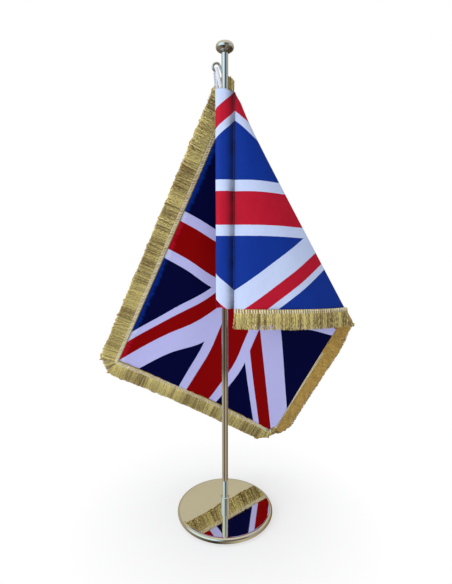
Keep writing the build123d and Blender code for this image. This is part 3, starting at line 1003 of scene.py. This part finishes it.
def tape_loop():
    """White tape over the hook's eye, with both ends tucked into the sleeve's top corner."""
    top_z = corner("hanging_loop", 1)[2] - 0.3
    foot_z = seam_top[2] - 3
    knots = [[-3.6, -2.6, foot_z], [-3.9, -3.0, foot_z + 6], [-5.2, -3.0, foot_z + 12],
             [-6.9, -2.4, top_z - 2.5], [-7.6, -1.6, top_z - 0.6], [-7.8, 0, top_z],
             [-8.2, 1.6, top_z - 0.6], [-8.6, 2.2, top_z - 3.5], [-8.1, 1.6, foot_z + 12],
             [-7.3, 0.6, foot_z + 6], [-6.7, -0.6, foot_z]]
    path = spline_through(knots, 80)
    rows = len(path)
    across = np.linspace(-1, 1, 9)
    tangent = unit(np.gradient(path, axis=0))
    wide = unit(np.cross(tangent, np.cross(np.array([1.0, 0.12, 0]), tangent)))
    length = np.linspace(0, 60, rows)
    grid = path[:, None] + wide[:, None] * (across * loop_half_width)[None, :, None]
    normal = unit(np.cross(wide, tangent))
    curl = 0.35 * (1 - across ** 2)[None, :] + 0.08 * np.sin(length * 1.7)[:, None]
    grid = grid + (normal[:, None] * curl[..., None])
    uvs = np.stack(np.broadcast_arrays(across[None, :] * loop_half_width, length[:, None]), axis=-1)
    normals = normal[:, None].repeat(len(across), axis=1)
    obj = closed_sheet("tape_loop", grid, normals, loop_thickness, tape_cloth, uvs)
    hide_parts("hanging_loop")
    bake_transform(obj)
    return obj


# ---------------- studio

# what the chrome sees below the horizon: a brown table with lighter and darker sides, by bearing
table_tones = ((0.0, colour(120, 106, 84)), (0.22, colour(198, 190, 172)), (0.36, colour(150, 136, 112)),
               (0.47, colour(52, 44, 34)), (0.56, colour(196, 182, 152)), (0.66, colour(150, 132, 104)),
               (0.8, colour(92, 76, 54)), (1.0, colour(120, 106, 84)))
# and above it: beige walls by height, then a window to the left and a dark figure to the right, by bearing
wall_tones = ((0.0, colour(120, 98, 74)), (0.45, colour(150, 136, 112)), (0.62, colour(176, 168, 146)),
              (0.78, colour(206, 198, 168)), (1.0, colour(222, 216, 196)))
side_tones = ((0.0, grey(0.55)), (0.2, (0.62, 0.58, 0.58)), (0.30, (0.80, 1.08, 1.15)),
              (0.44, (0.75, 1.10, 1.18)), (0.5, (0.10, 0.11, 0.12)), (0.62, (0.14, 0.13, 0.15)),
              (0.66, (0.42, 0.40, 0.44)), (0.85, (0.6, 0.58, 0.6)), (1.0, grey(0.55)))
floor_reach = 3.0
black, white = grey(0), grey(1)


def unlit_chrome():
    """Collection that keeps the lamps' glare off the chrome."""
    pieces = bpy.data.collections.new("chrome_pieces")
    for node in ("base_cover", "base_collar", "pole_tube", "finial_cap", "hook_wire"):
        pieces.objects.link(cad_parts[node])
    for item in pieces.collection_objects:
        item.light_linking.link_state = "EXCLUDE"
    return pieces


def area_light(name, location, target, size, power, tint, spared):
    """Soft lamp for the cloth and fringe; the spared pieces are lit by the room alone."""
    light = bpy.data.lights.new(name, "AREA")
    light.shape = "RECTANGLE"
    light.size, light.size_y = size
    light.energy = power
    light.color = tint
    obj = add_object(name, light)
    obj.location = location
    obj.rotation_euler = (Vector(target) - Vector(location)).to_track_quat("-Z", "Y").to_euler()
    obj.light_linking.receiver_collection = spared


def floor():
    """Pale floor that fades to white away from the stand; mirrors see it as a warm table top."""
    s = new_shader("pale_floor")
    path = s.node("ShaderNodeLightPath")
    x, y, _ = s.axes(s.coords())
    speckle = s.noise(25, 3, s.coords())
    s.set(Base_Color=s.mix(speckle, (*grey(0.92), 1), (*grey(0.96, -0.005), 1)), Roughness=0.9)
    distance = s.math("SQRT", s.math("ADD", s.math("POWER", x, 2.0), s.math("POWER", y, 2.0)))
    fade = s.linear(s.math("SUBTRACT", distance, 0.05, clamp=True), 3.6, 0.62, clamp=True)
    glow = s.node("ShaderNodeEmission", Color=(*white, 1), Strength=1.0)
    seen = s.mix_shader(fade, s.bsdf.outputs[0], glow.outputs[0])
    # the mirrored table darkens with distance
    far = s.node("ShaderNodeMapRange", **{"Value": path.outputs["Ray Length"], "From Min": 0.36,
                                          "From Max": 0.46, "To Min": 1.0, "To Max": 0.4})
    table = s.ramp(s.bearing(x, y), *table_tones)
    mirror = s.node("ShaderNodeEmission", Color=table, Strength=far.outputs[0])
    both = s.mix_shader(path.outputs["Is Glossy Ray"], seen, mirror.outputs[0])
    s.put(s.tree.nodes["Material Output"].inputs["Surface"], both)
    corners = [(floor_reach * x, floor_reach * y, 0) for x, y in ((-1, -1), (1, -1), (1, 1), (-1, 1))]
    mesh = bpy.data.meshes.new("floor")
    mesh.from_pydata(corners, [], [(0, 1, 2, 3)])
    mesh.materials.append(s.owner)
    add_object("floor", mesh)


def surroundings():
    """White to the camera, plain soft grey to the cloth; mirrors see a beige room with a window."""
    world = bpy.data.worlds.new("studio")
    bpy.context.scene.world = world
    s = Shader(world)
    backdrop = s.tree.nodes["Background"]
    backdrop.inputs["Color"].default_value = (*white, 1)
    backdrop.inputs["Strength"].default_value = 1.0
    across, depth, height = s.axes(s.coords("Generated"))
    walls = s.ramp(s.linear(height, 0.5, 0.5), *wall_tones)
    sides = s.ramp(s.bearing(across, depth), *side_tones)
    # the window and the figure fill a band above the horizon, on the camera's side
    band = s.times(s.ramp(height, (0.0, black), (0.06, white)), s.ramp(height, (0.55, white), (0.75, black)))
    front = s.ramp(s.linear(depth, -0.5, 0.5), (0.45, black), (0.55, white))
    seen = s.mix(s.times(band, front), walls, sides)
    room = s.node("ShaderNodeBackground", Color=seen, Strength=0.9)
    soft = s.node("ShaderNodeBackground", Color=(0.93, 0.96, 1.0, 1), Strength=0.42)
    path = s.node("ShaderNodeLightPath")
    shaded = s.mix_shader(path.outputs["Is Glossy Ray"], soft.outputs[0], room.outputs[0])
    mixed = s.mix_shader(path.outputs["Is Camera Ray"], shaded, backdrop.outputs[0])
    s.put(s.tree.nodes["World Output"].inputs["Surface"], mixed)


def studio():
    """Floor, surroundings and three lamps that light the cloth from the left, the right and above."""
    floor()
    surroundings()
    chrome = unlit_chrome()
    area_light("window", (-1.15, -0.85, 0.75), (0, 0, 0.25), (1.3, 1.2), 17, (0.93, 0.97, 1.0), chrome)
    area_light("fill", (0.9, -1.1, 0.5), (0, 0, 0.2), (1.2, 1.2), 1.6, (1.0, 0.97, 0.93), chrome)
    area_light("above", (0.0, 0.2, 1.5), (0, 0, 0.2), (1.2, 1.2), 5, white, chrome)
    bpy.context.scene.view_settings.view_transform = "Standard"


def camera():
    """Wide phone lens, a little above the flag's lower edge and tipped down."""
    data = bpy.data.cameras.new("camera")
    data.lens = eye_lens
    data.sensor_width = 36
    data.clip_start = 0.01
    obj = add_object("camera", data)
    obj.location = (eye_right * MM, -eye_distance * MM, (base_top + eye_height) * MM)
    obj.rotation_euler = (math.radians(90 - eye_tilt), 0, 0)
    bpy.context.scene.camera = obj


# ---------------- build

dress_cad_nodes()
panel()
sleeve()
sleeve_stitches()
for edge in ("top", "fly", "bottom"):
    header_braid(edge)
    fringe_backing(edge)
    fringe_threads(edge)
corner_fan("fringe_top_corner_threads", "top", flag_fly - 0.6, "fly", 0.6, (16.0, 16.5, 16.0), 21)
corner_fan("fringe_bottom_corner_threads", "fly", flag_hoist - 0.6, "bottom", flag_fly - 1.6,
           (9.0, 9.0, 9.0), 22)
tape_loop()
studio()
camera()
